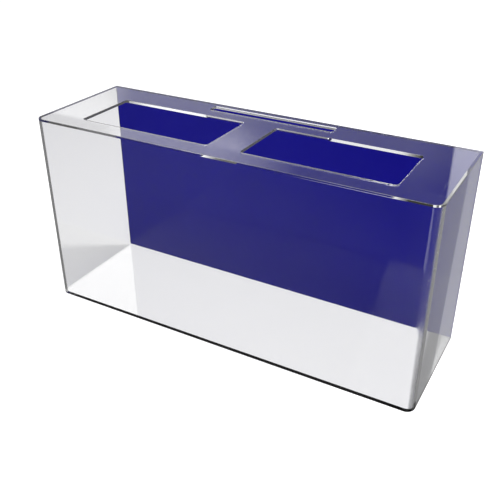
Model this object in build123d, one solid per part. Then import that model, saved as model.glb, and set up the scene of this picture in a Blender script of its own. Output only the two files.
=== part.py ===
from build123d import *
import os

# A clear acrylic aquarium with a blue rear wall, in millimetres.
# The origin is the centre of the underside, +X runs along the length, +Z is up
# and the front wall faces -Y.

# Outside of the tank
tank_length = 1219.2
tank_depth = 381.0
tank_height = 609.6
front_corner_radius = 25.4

# Sheet thicknesses
wall_thickness = 7.94
rear_thickness = 7.94
bottom_thickness = 7.94
top_thickness = 7.94

# Solid strips that the cut-outs leave in the top panel
end_margin = 127.0
centre_brace_width = 101.6
front_rail_width = 63.5
rear_shelf_width = 107.95

# Access openings and the slot in the rear shelf
access_corner_radius = 9.5
slot_length = 406.4
slot_width = 38.1
slot_rear_margin = 22.2
slot_corner_radius = 6.35

# Rounding of the polished edges that a hand can reach
eased_edge_radius = 0.8

# Places that several pieces share
rear_face_y = tank_depth / 2
front_face_y = -tank_depth / 2
wall_height = tank_height - bottom_thickness - top_thickness
underside_of_top_z = tank_height - top_thickness
side_wall_depth = tank_depth - rear_thickness
access_length = (tank_length - 2 * end_margin - centre_brace_width) / 2
access_depth = tank_depth - front_rail_width - rear_shelf_width
access_centre_x = (centre_brace_width + access_length) / 2
access_centre_y = front_face_y + front_rail_width + access_depth / 2
slot_centre_y = rear_face_y - slot_rear_margin - slot_width / 2


def footprint(depth, corner_radius):
    """Plan outline from the front face back, with rounded front and square rear corners."""
    with BuildSketch() as outline:
        with Locations((0, front_face_y + depth / 2)):
            Rectangle(tank_length, depth)
        fillet(outline.vertices().group_by(Axis.Y)[0], corner_radius)
    return outline.sketch


def edges_at_height(part, height):
    """Edges that lie flat at one height."""
    return part.edges().filter_by_position(Axis.Z, height - 0.01, height + 0.01)


def make_bottom_panel():
    """Floor sheet: the walls stand on it and its edge is flush with them."""
    with BuildPart() as panel:
        add(footprint(tank_depth, front_corner_radius))
        extrude(amount=bottom_thickness)
        fillet(edges_at_height(panel, 0), eased_edge_radius)
    return panel.part


def make_front_and_sides():
    """One sheet bent to a U, which stands on the floor sheet and is open at the rear."""
    inner_radius = front_corner_radius - wall_thickness
    inner_length = tank_length - 2 * wall_thickness
    inner_depth = side_wall_depth - wall_thickness
    with BuildPart() as wall:
        with BuildSketch(Plane.XY.offset(bottom_thickness)):
            add(footprint(side_wall_depth, front_corner_radius))
            with BuildSketch(mode=Mode.PRIVATE) as inside:
                with Locations((0, front_face_y + wall_thickness + inner_depth / 2)):
                    Rectangle(inner_length, inner_depth)
                fillet(inside.vertices().group_by(Axis.Y)[0], inner_radius)
            add(inside.sketch, mode=Mode.SUBTRACT)
        extrude(amount=wall_height)
    return wall.part


def make_rear_panel():
    """Opaque rear sheet, butted on the rear ends of the side walls over the full length."""
    with BuildPart() as panel:
        with Locations((0, rear_face_y - rear_thickness / 2, bottom_thickness + wall_height / 2)):
            Box(tank_length, rear_thickness, wall_height)
        rear_uprights = panel.edges().filter_by(Axis.Z).group_by(Axis.Y)[-1]
        fillet(rear_uprights, eased_edge_radius)
    return panel.part


def make_top_panel():
    """Rim brace: a sheet on top of the walls with two access openings and a rear slot."""
    with BuildPart() as panel:
        with BuildSketch(Plane.XY.offset(underside_of_top_z)):
            add(footprint(tank_depth, front_corner_radius))
            with Locations((-access_centre_x, access_centre_y), (access_centre_x, access_centre_y)):
                RectangleRounded(access_length, access_depth, access_corner_radius, mode=Mode.SUBTRACT)
            with Locations((0, slot_centre_y)):
                RectangleRounded(slot_length, slot_width, slot_corner_radius, mode=Mode.SUBTRACT)
        extrude(amount=top_thickness)
        fillet(edges_at_height(panel, tank_height), eased_edge_radius)
    return panel.part


pieces = {
    "front_and_sides": make_front_and_sides(),
    "rear_panel": make_rear_panel(),
    "bottom_panel": make_bottom_panel(),
    "top_panel": make_top_panel(),
}

os.makedirs("parts", exist_ok=True)
for name, piece in pieces.items():
    export_step(piece, f"parts/{name}.step")
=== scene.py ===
import math

import bmesh
import bpy
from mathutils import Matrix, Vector


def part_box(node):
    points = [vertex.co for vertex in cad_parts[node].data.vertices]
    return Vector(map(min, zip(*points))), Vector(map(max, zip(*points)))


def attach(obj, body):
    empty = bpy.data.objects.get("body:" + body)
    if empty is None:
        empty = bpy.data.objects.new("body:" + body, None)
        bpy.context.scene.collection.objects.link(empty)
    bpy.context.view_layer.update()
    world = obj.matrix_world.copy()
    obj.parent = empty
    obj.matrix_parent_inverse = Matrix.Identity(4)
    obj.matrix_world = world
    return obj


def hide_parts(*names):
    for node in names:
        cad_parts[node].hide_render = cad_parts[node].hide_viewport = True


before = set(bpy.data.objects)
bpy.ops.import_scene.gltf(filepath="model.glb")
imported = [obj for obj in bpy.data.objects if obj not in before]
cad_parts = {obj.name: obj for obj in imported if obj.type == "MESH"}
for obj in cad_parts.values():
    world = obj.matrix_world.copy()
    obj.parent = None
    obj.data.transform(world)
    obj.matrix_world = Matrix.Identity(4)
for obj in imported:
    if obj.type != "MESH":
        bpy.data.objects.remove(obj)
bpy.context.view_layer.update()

# The floor of the tank is a sheet of clear cast acrylic with rounded front corners. The
# walls and the rear panel are solvent-welded onto its upper face, so only its polished
# edge shows from outside.
floor_low, floor_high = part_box("bottom_panel")
sheet_thickness = floor_high.z - floor_low.z
bend_radius = 0.0254
bend_segments = 40
eased_edge = 0.0008
eased_segments = 3
clear_slot = 0
welded_slot = 1
acrylic_tint = (0.992, 0.992, 0.996, 1)
acrylic_index = 1.49
light_let_through = (0.97, 0.97, 0.97, 1)
scratch_haze = 0.08
sheet_marks = {"clean": 0, "smudged": 0.05, "scratch_depth": 0.000002, "wave_height": 0.00002}
# Light that a sheet's own faces have mirrored more often than this counts as trapped in it
most_mirrorings = 2.5


def start_slab(name, low, high):
    """A box from one corner to the other, with its place in its mesh."""
    bpy.ops.object.select_all(action="DESELECT")
    bpy.ops.mesh.primitive_cube_add(size=1, location=(low + high) / 2, scale=high - low)
    slab = bpy.context.object
    slab.name = name
    slab.data.name = name
    bpy.ops.object.transform_apply(location=True, rotation=True, scale=True)
    return slab


def select_only(piece, kind, wanted):
    """In edit mode, selects the edges or faces that wanted is true for, and nothing else."""
    bpy.ops.mesh.select_mode(type=kind)
    bpy.ops.mesh.select_all(action="DESELECT")
    mesh = bmesh.from_edit_mesh(piece.data)
    mesh.normal_update()
    for part in mesh.edges if kind == "EDGE" else mesh.faces:
        part.select_set(wanted(part))
    bmesh.update_edit_mesh(piece.data)


def is_at(value, place):
    """True where two coordinates are the same to a tenth of a millimetre."""
    return abs(value - place) < 0.0001


def round_front_corners(piece, front_y):
    """Rounds the two upright front edges to the outer radius of the heat-bent corners."""
    def upright_at_front(edge):
        a, b = (vert.co for vert in edge.verts)
        return is_at(a.y, front_y) and is_at(b.y, front_y) and is_at(a.x, b.x)

    select_only(piece, "EDGE", upright_at_front)
    bpy.ops.mesh.bevel(offset=bend_radius, segments=bend_segments, affect="EDGES")


def finish_selected(piece, slot):
    """In edit mode, gives the selected faces the finish in one of the piece's slots."""
    piece.active_material_index = slot
    bpy.ops.object.material_slot_assign()


def mark_welded_rim(piece, facing):
    """Marks the strip, one sheet wide, where the walls are welded on the face that looks up or down."""
    select_only(piece, "FACE", lambda face: face.normal.z * facing > 0.9)
    finish_selected(piece, welded_slot)
    bpy.ops.mesh.inset(thickness=sheet_thickness, use_even_offset=True)
    finish_selected(piece, clear_slot)


def finish_normals(piece):
    """Smooths the round corners and keeps the flat faces true and the edges crisp."""
    bpy.ops.object.select_all(action="DESELECT")
    piece.select_set(True)
    bpy.context.view_layer.objects.active = piece
    bpy.ops.object.shade_smooth_by_angle(angle=math.radians(12))
    weighted = piece.modifiers.new("flat_faces_first", "WEIGHTED_NORMAL")
    weighted.keep_sharp = True
    bpy.ops.object.modifier_apply(modifier=weighted.name)


def node(tree, kind, name, **values):
    """Adds a shader node and sets its properties."""
    made = tree.nodes.new(kind)
    made.name = name
    for key, value in values.items():
        setattr(made, key, value)
    return made


def empty_material(name):
    """A material whose node tree holds only its output."""
    material = bpy.data.materials.new(name)
    material.use_nodes = True
    material.node_tree.nodes.clear()
    output = node(material.node_tree, "ShaderNodeOutputMaterial", "output")
    return material, material.node_tree, output.inputs["Surface"]


def object_place(tree):
    """The place on the piece, in metres from the centre of the tank's underside."""
    return node(tree, "ShaderNodeTexCoord", "place").outputs["Object"]


def calculate(tree, name, operation, first, second, clamp=False):
    """One sum on numbers or on other sums."""
    sum_node = node(tree, "ShaderNodeMath", name, operation=operation, use_clamp=clamp)
    for socket, value in zip(sum_node.inputs, (first, second)):
        if isinstance(value, (int, float)):
            socket.default_value = value
        else:
            tree.links.new(value, socket)
    return sum_node.outputs[0]


def step_between(tree, name, value, low, high):
    """0 below low, 1 above high and an even rise between them."""
    step = node(tree, "ShaderNodeMapRange", name)
    step.inputs["From Min"].default_value = low
    step.inputs["From Max"].default_value = high
    tree.links.new(value, step.inputs["Value"])
    return step.outputs["Result"]


def stretched(tree, name, place, scale, turn=(0, 0, 0)):
    """Turned and scaled coordinates, which draw a pattern out into lines."""
    mapping = node(tree, "ShaderNodeMapping", name)
    mapping.inputs["Rotation"].default_value = turn
    mapping.inputs["Scale"].default_value = scale
    tree.links.new(place, mapping.inputs["Vector"])
    return mapping.outputs[0]


def noise(tree, name, place, scale, detail, distortion=0):
    """Soft random pattern with values around a half."""
    pattern = node(tree, "ShaderNodeTexNoise", name)
    pattern.inputs["Scale"].default_value = scale
    pattern.inputs["Detail"].default_value = detail
    pattern.inputs["Distortion"].default_value = distortion
    tree.links.new(place, pattern.inputs["Vector"])
    return pattern.outputs["Fac"]


def mix_shaders(tree, name, share, first, second):
    """The first shader where share is 0 and the second where it is 1."""
    mix = node(tree, "ShaderNodeMixShader", name)
    for socket, value in zip(mix.inputs, (share, first, second)):
        tree.links.new(value, socket)
    return mix.outputs[0]


def make_handling_marks():
    """Group: faint smudges, hairline scratches and the slight wave of a cast sheet."""
    group = bpy.data.node_groups.new("handling_marks", "ShaderNodeTree")
    group.interface.new_socket("Vector", in_out="INPUT", socket_type="NodeSocketVector")
    for name in ("Clean Roughness", "Smudge Roughness", "Scratch Depth", "Wave Height"):
        group.interface.new_socket(name, in_out="INPUT", socket_type="NodeSocketFloat")
    for name in ("Roughness", "Height"):
        group.interface.new_socket(name, in_out="OUTPUT", socket_type="NodeSocketFloat")
    given = node(group, "NodeGroupInput", "given").outputs
    result = node(group, "NodeGroupOutput", "result").inputs
    place = given["Vector"]

    smudge = noise(group, "smudge", place, scale=7, detail=5, distortion=0.6)
    smudged = step_between(group, "smudged", smudge, 0.5, 0.72)
    wipe = noise(group, "wipe", place, scale=60, detail=3)
    broken = calculate(group, "broken", "MULTIPLY", smudged, wipe)
    smudge_roughness = calculate(group, "smudge_roughness", "MULTIPLY", broken, given["Smudge Roughness"])

    scratches = []
    for way, turn, stretch in (("lengthwise", (0.3, 0.5, 0.35), (5, 260, 260)),
                               ("crosswise", (0.9, -0.6, 0.2), (260, 7, 260))):
        along = stretched(group, f"along_{way}", place, stretch, turn)
        line = noise(group, f"line_{way}", along, scale=1, detail=2)
        scratches.append(step_between(group, f"scratch_{way}", line, 0.69, 0.74))
    scratched = calculate(group, "scratched", "MAXIMUM", *scratches)
    depth = calculate(group, "depth", "MULTIPLY", scratched, given["Scratch Depth"])
    haze = calculate(group, "haze", "MULTIPLY", scratched, scratch_haze)
    wave = noise(group, "wave", place, scale=5, detail=1)
    wave_height = calculate(group, "wave_height", "MULTIPLY", wave, given["Wave Height"])

    marked = calculate(group, "marked", "ADD", smudge_roughness, haze)
    roughness = calculate(group, "roughness", "ADD", marked, given["Clean Roughness"])
    group.links.new(roughness, result["Roughness"])
    group.links.new(calculate(group, "height", "SUBTRACT", wave_height, depth), result["Height"])
    return group


handling_marks = make_handling_marks()


def add_marks(tree, place, surface, clean, smudged, scratch_depth, wave_height):
    """Bumps a surface with the handling marks and gives its roughness, to add to or to link."""
    marks = node(tree, "ShaderNodeGroup", "marks", node_tree=handling_marks)
    marks.inputs["Clean Roughness"].default_value = clean
    marks.inputs["Smudge Roughness"].default_value = smudged
    marks.inputs["Scratch Depth"].default_value = scratch_depth
    marks.inputs["Wave Height"].default_value = wave_height
    tree.links.new(place, marks.inputs["Vector"])
    bump = node(tree, "ShaderNodeBump", "bump")
    bump.inputs["Distance"].default_value = 1
    tree.links.new(marks.outputs["Height"], bump.inputs["Height"])
    tree.links.new(bump.outputs[0], surface.inputs["Normal"])
    return marks.outputs["Roughness"]


def start_clear_sheet(name, lets_trapped_light_out=False):
    """Clear sheet that lamps and soft light pass straight through, so that they light what is
    behind. It may let trapped light out too. The floor sheet doesn't, so its edge stays dark."""
    material, tree, output = empty_material(name)
    surface = node(tree, "ShaderNodeBsdfPrincipled", "sheet")
    surface.inputs["Base Color"].default_value = acrylic_tint
    surface.inputs["IOR"].default_value = acrylic_index
    surface.inputs["Transmission Weight"].default_value = 1
    light_path = node(tree, "ShaderNodeLightPath", "light_path").outputs
    passes = calculate(tree, "soft_light", "MAXIMUM",
                       light_path["Is Shadow Ray"], light_path["Is Diffuse Ray"])
    if lets_trapped_light_out:
        trapped = calculate(tree, "trapped", "GREATER_THAN", light_path["Glossy Depth"], most_mirrorings)
        passes = calculate(tree, "soft_or_trapped", "MAXIMUM", passes, trapped)
    through = node(tree, "ShaderNodeBsdfTransparent", "through")
    through.inputs["Color"].default_value = light_let_through
    tree.links.new(mix_shaders(tree, "mix", passes, surface.outputs[0], through.outputs[0]), output)
    return material, tree, object_place(tree), surface


def make_clear_acrylic(name, lets_trapped_light_out=False):
    """Flat cast sheet as it comes from under its masking film, wiped once or twice."""
    material, tree, place, surface = start_clear_sheet(name, lets_trapped_light_out)
    tree.links.new(add_marks(tree, place, surface, **sheet_marks), surface.inputs["Roughness"])
    return material


def make_welded_face():
    """Face melted onto its neighbour by the solvent, so that light goes straight on."""
    material, tree, output = empty_material("welded_face")
    through = node(tree, "ShaderNodeBsdfTransparent", "through")
    tree.links.new(through.outputs[0], output)
    return material


welded_face = make_welded_face()

floor_sheet = start_slab("floor_sheet", floor_low, floor_high)
floor_sheet.data.materials.append(make_clear_acrylic("clear_acrylic"))
floor_sheet.data.materials.append(welded_face)
bpy.ops.object.mode_set(mode="EDIT")
round_front_corners(floor_sheet, floor_low.y)
select_only(floor_sheet, "EDGE", lambda edge: all(is_at(vert.co.z, floor_low.z) for vert in edge.verts))
bpy.ops.mesh.bevel(offset=eased_edge, segments=eased_segments, affect="EDGES")
mark_welded_rim(floor_sheet, facing=1)
bpy.ops.object.mode_set(mode="OBJECT")
finish_normals(floor_sheet)
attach(floor_sheet, "root")
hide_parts("bottom_panel")

# The front wall and both end walls are one sheet of clear acrylic, heat-bent to a U with
# rounded upright corners. It stands on the floor sheet, and its cut edges are all welded:
# below to the floor, above to the top panel and behind to the rear panel.
wall_low, wall_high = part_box("front_and_sides")
bend_axis_x = wall_high.x - bend_radius
bend_axis_y = wall_low.y + bend_radius
bend_roughness = 0.2
bend_blur_x = 0.012
bend_blur_y = 0.0045


def split(tree, vector):
    """A vector's X, Y and Z."""
    parts = node(tree, "ShaderNodeSeparateXYZ", "parts")
    tree.links.new(vector, parts.inputs[0])
    return parts.outputs


def make_bent_acrylic():
    """The same sheet, with the slightly dulled skin that heating leaves on the bends."""
    material, tree, place, surface = start_clear_sheet("bent_acrylic", lets_trapped_light_out=True)
    roughness = add_marks(tree, place, surface, **sheet_marks)
    along = split(tree, place)
    from_middle = calculate(tree, "from_middle", "ABSOLUTE", along["X"], 0)
    past_front = step_between(tree, "past_front", from_middle, bend_axis_x, bend_axis_x + bend_blur_x)
    before_side = step_between(tree, "before_side", along["Y"], bend_axis_y, bend_axis_y - bend_blur_y)
    in_bend = calculate(tree, "in_bend", "MULTIPLY", past_front, before_side)
    dulled = calculate(tree, "dulled", "MULTIPLY", in_bend, bend_roughness)
    tree.links.new(calculate(tree, "with_bend", "ADD", dulled, roughness), surface.inputs["Roughness"])
    return material


bent_wall = start_slab("bent_wall", wall_low, wall_high)
bent_wall.data.materials.append(make_bent_acrylic())
bent_wall.data.materials.append(welded_face)
bpy.ops.object.mode_set(mode="EDIT")
select_only(bent_wall, "FACE", lambda face: abs(face.normal.z) > 0.9 or face.normal.y > 0.9)
bpy.ops.mesh.delete(type="FACE")
round_front_corners(bent_wall, wall_low.y)
bpy.ops.object.mode_set(mode="OBJECT")
thickness = bent_wall.modifiers.new("thickness", "SOLIDIFY")
thickness.thickness = sheet_thickness
thickness.offset = -1
thickness.use_even_offset = True
thickness.material_offset_rim = welded_slot
bpy.ops.object.modifier_apply(modifier=thickness.name)
finish_normals(bent_wall)
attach(bent_wall, "root")
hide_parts("front_and_sides")

# The rear wall is a sheet of opaque cobalt-blue acrylic, glossy on both faces, butted and
# welded on the ends of the side walls. It keeps its CAD node and gets its finish here.
rear_low, rear_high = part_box("rear_panel")
blue_light = (0.0045, 0.003, 0.235, 1)
blue_deep = (0.0035, 0.0022, 0.212, 1)
# The sawn ends get a much darker blue. On the upper end, under the top panel, it is painted shade; the side
# ends get the same blue.
blue_ends_with_painted_shade = (0.002, 0.0015, 0.06, 1)
sawn_roughness = 0.22
sawn_depth = 0.0002


def blend_colours(tree, name, share, first, second):
    """The first colour where share is 0 and the second where it is 1. A number is a grey."""
    mix = node(tree, "ShaderNodeMix", name, data_type="RGBA")
    tree.links.new(share, mix.inputs[0])
    for socket, colour in ((mix.inputs[6], first), (mix.inputs[7], second)):
        if isinstance(colour, float):
            socket.default_value = (colour, colour, colour, 1)
        elif isinstance(colour, tuple):
            socket.default_value = colour
        else:
            tree.links.new(colour, socket)
    return mix.outputs[2]


def make_blue_acrylic():
    """Opaque coloured sheet: deep gloss on its cast faces, duller sawn ends in a darker blue that is painted
    shade on the upper one.
    """
    material, tree, output = empty_material("blue_acrylic")
    surface = node(tree, "ShaderNodeBsdfPrincipled", "cast_sheet")
    surface.inputs["IOR"].default_value = acrylic_index
    place = object_place(tree)
    roughness = add_marks(tree, place, surface,
                          clean=0.03, smudged=0.1, scratch_depth=0.000003, wave_height=0.00003)
    along = split(tree, place)
    from_middle = calculate(tree, "from_middle", "ABSOLUTE", along["X"], 0)
    side_end = calculate(tree, "side_end", "GREATER_THAN", from_middle, rear_high.x - sawn_depth)
    upper_end = calculate(tree, "upper_end", "GREATER_THAN", along["Z"], rear_high.z - sawn_depth)
    sawn_end = calculate(tree, "sawn_end", "MAXIMUM", side_end, upper_end)
    added = calculate(tree, "added", "MULTIPLY", sawn_end, sawn_roughness)
    tree.links.new(calculate(tree, "with_ends", "ADD", added, roughness), surface.inputs["Roughness"])
    cloud = noise(tree, "cloud", place, scale=3, detail=3)
    cloudy = step_between(tree, "cloudy", cloud, 0.3, 0.7)
    pigment = blend_colours(tree, "pigment", cloudy, blue_light, blue_deep)
    # Painted shade: the darker blue on the ends stands for the shadow under the top panel
    tree.links.new(blend_colours(tree, "ends", sawn_end, pigment, blue_ends_with_painted_shade), surface.inputs["Base Color"])
    tree.links.new(surface.outputs[0], output)
    return material


rear_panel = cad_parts["rear_panel"]
rear_panel.data.materials.clear()
rear_panel.data.materials.append(make_blue_acrylic())

# The top panel braces the rim: one clear sheet welded onto the walls, with scraped upper
# edges. A router has cut it out for two access openings, with a centre brace between
# them, and for a slot along the rear, and has left those edges satin.
top_low, top_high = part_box("top_panel")
end_margin = 0.127
centre_brace = 0.1016
front_rail = 0.0635
rear_shelf = 0.10795
access_corner = 0.0095
slot_length = 0.4064
slot_width = 0.0381
slot_margin = 0.0222
slot_corner = 0.00635
cut_corner_segments = 10
scraped_edge = 0.0003
routed_slot = 2
bit_mark_depth = 0.00002


def cut_opening(panel, low_x, high_x, low_y, high_y, corner_radius):
    """Cuts a rectangular opening with rounded corners right through the panel."""
    low = Vector((low_x, low_y, top_low.z - sheet_thickness))
    high = Vector((high_x, high_y, top_high.z + sheet_thickness))
    cutter = start_slab("cutter", low, high)
    cutter.data.materials.append(panel.data.materials[clear_slot])
    bpy.ops.object.mode_set(mode="EDIT")
    select_only(cutter, "EDGE", lambda edge: not is_at(edge.verts[0].co.z, edge.verts[1].co.z))
    bpy.ops.mesh.bevel(offset=corner_radius, segments=cut_corner_segments, affect="EDGES")
    bpy.ops.object.mode_set(mode="OBJECT")
    bpy.ops.object.select_all(action="DESELECT")
    bpy.context.view_layer.objects.active = panel
    cut = panel.modifiers.new("opening", "BOOLEAN")
    cut.operation = "DIFFERENCE"
    cut.solver = "EXACT"
    cut.object = cutter
    bpy.ops.object.modifier_apply(modifier=cut.name)
    bpy.data.objects.remove(cutter)


def make_routed_edge():
    """Edge that a router cut through the sheet: satin, with the fine upright marks of its bit."""
    material, tree, place, surface = start_clear_sheet("routed_edge", lets_trapped_light_out=True)
    roughness = add_marks(tree, place, surface,
                          clean=0.1, smudged=0.1, scratch_depth=0.000002, wave_height=0)
    upright = stretched(tree, "upright", place, (900, 900, 25))
    bit_marks = noise(tree, "bit_marks", upright, scale=1, detail=2)
    cut_height = calculate(tree, "cut_height", "MULTIPLY", bit_marks, bit_mark_depth)
    tree.links.new(cut_height, tree.nodes["bump"].inputs["Height"])
    tree.links.new(roughness, surface.inputs["Roughness"])
    return material


def is_cut_out(face):
    """True on the upright faces of the cut-outs, which lie well inside the outline."""
    middle = face.calc_center_median()
    clear_of_ends = abs(middle.x) < top_high.x - end_margin / 2
    clear_of_sides = abs(middle.y) < top_high.y - slot_margin / 2
    return abs(face.normal.z) < 0.1 and clear_of_ends and clear_of_sides


def is_scraped(edge):
    """True on the upper edges, which a hand can reach."""
    is_sharp = edge.calc_face_angle(0) > math.radians(60)
    return is_sharp and all(is_at(vert.co.z, top_high.z) for vert in edge.verts)


rim_brace = start_slab("rim_brace", top_low, top_high)
rim_brace.data.materials.append(make_clear_acrylic("top_acrylic", lets_trapped_light_out=True))
rim_brace.data.materials.append(welded_face)
rim_brace.data.materials.append(make_routed_edge())
bpy.ops.object.mode_set(mode="EDIT")
round_front_corners(rim_brace, top_low.y)
mark_welded_rim(rim_brace, facing=-1)
bpy.ops.object.mode_set(mode="OBJECT")
access_front = top_low.y + front_rail
access_rear = top_high.y - rear_shelf
access_end = top_high.x - end_margin
slot_rear = top_high.y - slot_margin
cut_opening(rim_brace, -access_end, -centre_brace / 2, access_front, access_rear, access_corner)
cut_opening(rim_brace, centre_brace / 2, access_end, access_front, access_rear, access_corner)
cut_opening(rim_brace, -slot_length / 2, slot_length / 2, slot_rear - slot_width, slot_rear, slot_corner)
bpy.ops.object.mode_set(mode="EDIT")
select_only(rim_brace, "FACE", is_cut_out)
finish_selected(rim_brace, routed_slot)
select_only(rim_brace, "EDGE", is_scraped)
bpy.ops.mesh.bevel(offset=scraped_edge, segments=eased_segments, affect="EDGES")
bpy.ops.object.mode_set(mode="OBJECT")
finish_normals(rim_brace)
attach(rim_brace, "root")
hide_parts("top_panel")

# The studio floor is pale paper that runs out of sight. It looks white in the open, keeps
# the tank's soft shadow and is evenly lit under the glass, but for a painted shade under the
# right end. Polished faces mirror other tones in its place, which stand in for the dim studio
# around the tank.
floor_size = 30
floor_gap = 0.0006
floor_colour = (0.8, 0.8, 0.8, 1)
glow_in_the_open = 0.5
glow_through_glass = 0.16
# A painted shade lies across the floor under the right end of the tank, seen through the glass.
# It fans out from a point near the front right corner, and each side is blurred between two angles.
shade_point = (0.645, -0.49, 0)
shade_right_side = (5.4, 6)
shade_left_side = (8.9, 9.7)
shade_tone = 0.35
# Mirrored tones, as pairs of an angle in degrees round the front right bend and a grey
dim_floor = ((-180, 0.3), (-150, 0.45), (-112, 0.45), (-90, 0.2), (-60, 0.25), (-30, 0.28),
             (-10, 0.36), (0, 0.4), (20, 0.25), (105, 0.3), (123, 0.2), (162, 0.08), (180, 0.3))
front_right_bend = (bend_axis_x, bend_axis_y, 0)
rear_floor_side = (-10.1, -9.7)
rear_floor_tone = 0.6
strip_behind_tank = 1.3
left_floor_tone = 0.2
left_floor_blur = 0.02
under_tank_tone = 0.04


def direction_from(tree, name, place, point):
    """The way from a point to a place, as a vector."""
    direction = node(tree, "ShaderNodeVectorMath", name, operation="SUBTRACT")
    direction.inputs[1].default_value = point
    tree.links.new(place, direction.inputs[0])
    return direction.outputs[0]


def compass_angle(tree, name, vector, low, high):
    """Angle of a vector from +Y to its left, in degrees from low to high, as 0 to 1."""
    turned = stretched(tree, f"{name}_turned", vector, (1, 1, 1), (0, 0, math.radians(-90)))
    angle = node(tree, "ShaderNodeTexGradient", f"{name}_angle", gradient_type="RADIAL")
    tree.links.new(turned, angle.inputs["Vector"])
    return step_between(tree, f"{name}_scaled", angle.outputs["Fac"], 0.5 + low / 360, 0.5 + high / 360)


def tones_by_angle(tree, name, vector, tones):
    """Grey at each angle of a vector, from pairs of an angle in degrees and a grey."""
    low = tones[0][0]
    high = tones[-1][0]
    ramp = node(tree, "ShaderNodeValToRGB", name)
    stops = ramp.color_ramp.elements
    for number, (degrees, tone) in enumerate(tones):
        place = (degrees - low) / (high - low)
        # A new ramp already has two stops
        stop = stops[number] if number < 2 else stops.new(place)
        stop.position = place
        stop.color = (tone, tone, tone, 1)
    tree.links.new(compass_angle(tree, name, vector, low, high), ramp.inputs["Fac"])
    return ramp.outputs["Color"]


def seen_in_glass(tree, light_path):
    """1 where gloss or glass shows the studio."""
    return calculate(tree, "seen_in_glass", "ADD", light_path["Is Glossy Ray"],
                     light_path["Is Transmission Ray"], clamp=True)


def seen_mirrored(tree, light_path):
    """1 where a polished face mirrors the studio."""
    return calculate(tree, "seen_mirrored", "GREATER_THAN", light_path["Glossy Depth"], 0.5)


def within(tree, name, coordinate, reach):
    """1 where a coordinate is no further from the middle of the tank than reach."""
    from_middle = calculate(tree, f"{name}_from_middle", "ABSOLUTE", coordinate, 0)
    return calculate(tree, name, "LESS_THAN", from_middle, reach)


def make_seen_floor(tree, place, light_path, under_tank):
    """The floor as the eye sees it, in the open and through the tank."""
    in_glass = seen_in_glass(tree, light_path)
    paper = node(tree, "ShaderNodeBsdfDiffuse", "paper")
    paper.inputs["Color"].default_value = floor_colour
    open_glow = calculate(tree, "open_glow", "MULTIPLY", light_path["Is Camera Ray"], glow_in_the_open)
    glass_glow = calculate(tree, "glass_glow", "MULTIPLY", in_glass, glow_through_glass)
    glow = node(tree, "ShaderNodeEmission", "glow")
    tree.links.new(calculate(tree, "all_glow", "ADD", open_glow, glass_glow), glow.inputs["Strength"])
    glowing_paper = node(tree, "ShaderNodeAddShader", "glowing_paper")
    tree.links.new(paper.outputs[0], glowing_paper.inputs[0])
    tree.links.new(glow.outputs[0], glowing_paper.inputs[1])

    # Painted shade across the even tone that the floor shows through the tank
    from_shade_point = direction_from(tree, "from_shade_point", place, shade_point)
    begins = compass_angle(tree, "shade_begins", from_shade_point, *shade_right_side)
    ends = compass_angle(tree, "shade_ends", from_shade_point, *shade_left_side)
    shade = calculate(tree, "shade", "SUBTRACT", begins, ends)
    evenly_lit = node(tree, "ShaderNodeEmission", "evenly_lit")
    tree.links.new(blend_colours(tree, "lit_tone", shade, 1.0, shade_tone), evenly_lit.inputs["Color"])
    through_tank = calculate(tree, "through_tank", "MULTIPLY", in_glass, under_tank)
    return mix_shaders(tree, "seen_floor", through_tank, glowing_paper.outputs[0], evenly_lit.outputs[0])


def make_mirrored_floor(tree, place, under_tank):
    """The floor as polished faces mirror it: dim, lighter to the rear, and bright in a strip behind."""
    along = split(tree, place)
    from_bend = direction_from(tree, "from_bend", place, front_right_bend)
    around = tones_by_angle(tree, "around", from_bend, dim_floor)
    left_of_side = compass_angle(tree, "left_of_side", from_bend, *rear_floor_side)
    past_middle = calculate(tree, "past_middle", "GREATER_THAN", along["Y"], 0)
    at_rear = calculate(tree, "at_rear", "MULTIPLY", left_of_side, past_middle)
    with_rear = blend_colours(tree, "with_rear", at_rear, around, rear_floor_tone)
    clear_of_side = calculate(tree, "clear_of_side", "LESS_THAN", along["X"], bend_axis_x)
    past_rear = calculate(tree, "past_rear", "GREATER_THAN", along["Y"], floor_high.y)
    on_strip = calculate(tree, "on_strip", "MULTIPLY", clear_of_side, past_rear)
    with_strip = blend_colours(tree, "with_strip", on_strip, with_rear, strip_behind_tank)
    left_end = floor_low.x
    past_left_end = step_between(tree, "past_left_end", along["X"], left_end - left_floor_blur, left_end)
    with_left = blend_colours(tree, "with_left", past_left_end, left_floor_tone, with_strip)
    tone = blend_colours(tree, "tone", under_tank, with_left, under_tank_tone)
    mirrored = node(tree, "ShaderNodeEmission", "mirrored_floor")
    tree.links.new(tone, mirrored.inputs["Color"])
    return mirrored.outputs[0]


def make_studio_floor():
    """White paper to the eye and as light, and dim tones in polished faces."""
    material, tree, output = empty_material("studio_floor")
    light_path = node(tree, "ShaderNodeLightPath", "light_path").outputs
    place = object_place(tree)
    along = split(tree, place)
    under_tank = calculate(tree, "under_tank", "MULTIPLY", within(tree, "within_x", along["X"], floor_high.x),
                           within(tree, "within_y", along["Y"], floor_high.y))
    seen = make_seen_floor(tree, place, light_path, under_tank)
    mirrored = make_mirrored_floor(tree, place, under_tank)
    tree.links.new(mix_shaders(tree, "mix", seen_mirrored(tree, light_path), seen, mirrored), output)
    return material


bpy.ops.object.select_all(action="DESELECT")
bpy.ops.mesh.primitive_plane_add(size=floor_size, location=(0, 0, -floor_gap))
studio_floor = bpy.context.object
studio_floor.name = "studio_floor"
studio_floor.data.materials.append(make_studio_floor())

# A white card lies on the floor to the right, in front of the tank. The outer polished faces
# mirror it, which draws the light line down the front right bend. It isn't seen, and it
# sheds no light.
card_low = Vector((0.43, -1.6, 0.001))
card_high = Vector((0.85, -0.93, 0.002))
card_strength = 2.7


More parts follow.
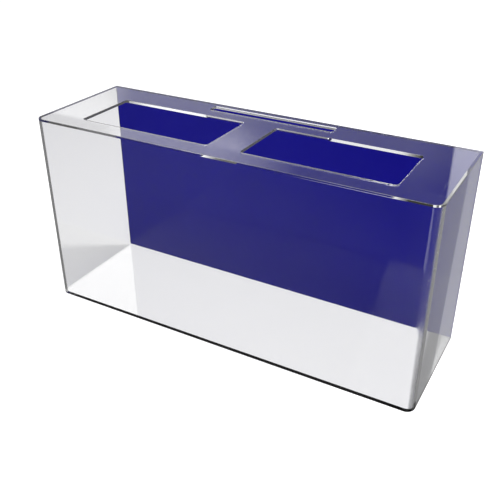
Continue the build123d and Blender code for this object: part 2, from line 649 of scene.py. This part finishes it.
def make_fill_card():
    """White where an outer face mirrors the card, and see-through everywhere else."""
    material, tree, output = empty_material("fill_card")
    light_path = node(tree, "ShaderNodeLightPath", "light_path").outputs
    in_open_air = calculate(tree, "in_open_air", "LESS_THAN", light_path["Transmission Depth"], 0.5)
    by_outer_face = calculate(tree, "by_outer_face", "MULTIPLY", seen_mirrored(tree, light_path), in_open_air)
    unseen = node(tree, "ShaderNodeBsdfTransparent", "unseen")
    white = node(tree, "ShaderNodeEmission", "white")
    white.inputs["Strength"].default_value = card_strength
    tree.links.new(mix_shaders(tree, "mix", by_outer_face, unseen.outputs[0], white.outputs[0]), output)
    material.cycles.emission_sampling = "NONE"
    return material


fill_card = start_slab("fill_card", card_low, card_high)
fill_card.data.materials.append(make_fill_card())
fill_card.visible_diffuse = False
fill_card.visible_shadow = False

# The sky is plain white to the eye and as light. Polished faces mirror greys in its place,
# given as pairs of a compass angle and a grey: low ones in the rear shelf, which turn to the
# middle ones over the brace and the ends, and high ones in the front rail.
sky_for_light = 0.7
low_tones = ((-60, 1), (12, 0.2), (15, 0.3), (24, 0.3), (28, 0.4), (31, 0.55), (39, 0.55), (41.5, 1),
             (60, 1))
middle_tones = ((-60, 1), (12, 0.14), (15, 0.22), (25, 0.25), (28, 0.55), (30.5, 1.1), (40, 1.1),
                (60, 1.1))
high_tones = ((-60, 1), (12, 0.2), (15, 0.2), (25, 0.2), (28, 0.55), (32, 0.9), (40.6, 0.9), (41.6, 0.5),
              (60, 0.5))
middle_begins = (0.405, 0.45)
high_begins = (0.455, 0.464)
# A bright backdrop covers all three kinds up to the angle of its side
backdrop_tone = 1.4
backdrop_side = (11.75, 11.95)
overhead_tone = 1.8
overhead_begins = (0.44, 0.49)
# Greys that show in the cut edges, where trapped light comes out
edge_tones = ((0, 0.04), (9.6, 0.04), (10.2, 0.9), (15, 0.9), (16, 0.15), (20, 0.15), (20.8, 1.2),
              (23.6, 1.2), (25, 0.1), (90, 0.1))


def make_mirrored_sky(tree, light_path):
    """The sky as polished faces mirror it, dim between its bright parts."""
    direction = node(tree, "ShaderNodeTexCoord", "direction").outputs["Generated"]
    along = split(tree, direction)
    rise = calculate(tree, "rise", "DIVIDE", along["Z"], along["Y"])
    low_sky = tones_by_angle(tree, "low_sky", direction, low_tones)
    middle_sky = tones_by_angle(tree, "middle_sky", direction, middle_tones)
    high_sky = tones_by_angle(tree, "high_sky", direction, high_tones)
    above_low = step_between(tree, "above_low", rise, *middle_begins)
    above_middle = step_between(tree, "above_middle", rise, *high_begins)
    lower_sky = blend_colours(tree, "lower_sky", above_low, low_sky, middle_sky)
    left_sky = blend_colours(tree, "left_sky", above_middle, lower_sky, high_sky)
    left_of_backdrop = compass_angle(tree, "left_of_backdrop", direction, *backdrop_side)
    with_backdrop = blend_colours(tree, "with_backdrop", left_of_backdrop, backdrop_tone, left_sky)
    overhead = step_between(tree, "overhead", along["Z"], *overhead_begins)
    with_overhead = blend_colours(tree, "with_overhead", overhead, with_backdrop, overhead_tone)
    edge_sky = tones_by_angle(tree, "edge_sky", direction, edge_tones)
    through_edges = calculate(tree, "through_edges", "GREATER_THAN",
                              light_path["Glossy Depth"], most_mirrorings)
    return blend_colours(tree, "mirrored_sky", through_edges, with_overhead, edge_sky)


def make_white_sky():
    """Sets the world: white to the eye, a little softer as light, and dim in polished faces."""
    world = bpy.data.worlds.new("white_sky")
    bpy.context.scene.world = world
    world.use_nodes = True
    world.cycles.sampling_method = "NONE"
    tree = world.node_tree
    sky = tree.nodes["Background"]
    light_path = node(tree, "ShaderNodeLightPath", "light_path").outputs
    mirrored = seen_mirrored(tree, light_path)
    colour = blend_colours(tree, "sky_colour", mirrored, 1.0, make_mirrored_sky(tree, light_path))
    tree.links.new(colour, sky.inputs["Color"])
    in_glass = seen_in_glass(tree, light_path)
    seen = calculate(tree, "seen", "ADD", light_path["Is Camera Ray"], in_glass, clamp=True)
    added = calculate(tree, "added", "MULTIPLY", seen, 1 - sky_for_light)
    tree.links.new(calculate(tree, "strength", "ADD", added, sky_for_light), sky.inputs["Strength"])


make_white_sky()

# Two soft boxes light the tank: a small one from behind on the right and a large one above
# the front.
key_place = (1.25, 1.35, 2.3)
key_aim = (-0.6, 0.15, 0)
key_size = 0.5
key_power = 40
front_place = (0.2, -2.6, 2.4)
front_aim = (0, 0, 0.3)
front_size = 1.6
front_power = 30


def face_point(thing, place, point):
    """Puts a lamp or a camera in its place and turns it to face a point."""
    thing.location = place
    thing.rotation_euler = (Vector(point) - Vector(place)).to_track_quat("-Z", "Y").to_euler()
    bpy.context.scene.collection.objects.link(thing)


def add_soft_box(name, place, aim, size, power):
    """A square area lamp that faces a point."""
    lamp = bpy.data.lights.new(name, "AREA")
    lamp.shape = "SQUARE"
    lamp.size = size
    lamp.energy = power
    face_point(bpy.data.objects.new(name, lamp), place, aim)


add_soft_box("key_box", key_place, key_aim, key_size, key_power)
add_soft_box("front_box", front_place, front_aim, front_size, front_power)

# The camera stands in front of the tank, to the right of it and above its rim, and looks
# down on it at the angle of the photograph.
camera_place = (0.9093, -1.6034, 1.2877)
camera_aim = (0.0123, 0, 0.240)
camera_data = bpy.data.cameras.new("camera")
camera_data.lens = 50
camera_data.sensor_width = 36
camera = bpy.data.objects.new("camera", camera_data)
face_point(camera, camera_place, camera_aim)
bpy.context.scene.camera = camera

bpy.context.scene.view_settings.view_transform = "Standard"
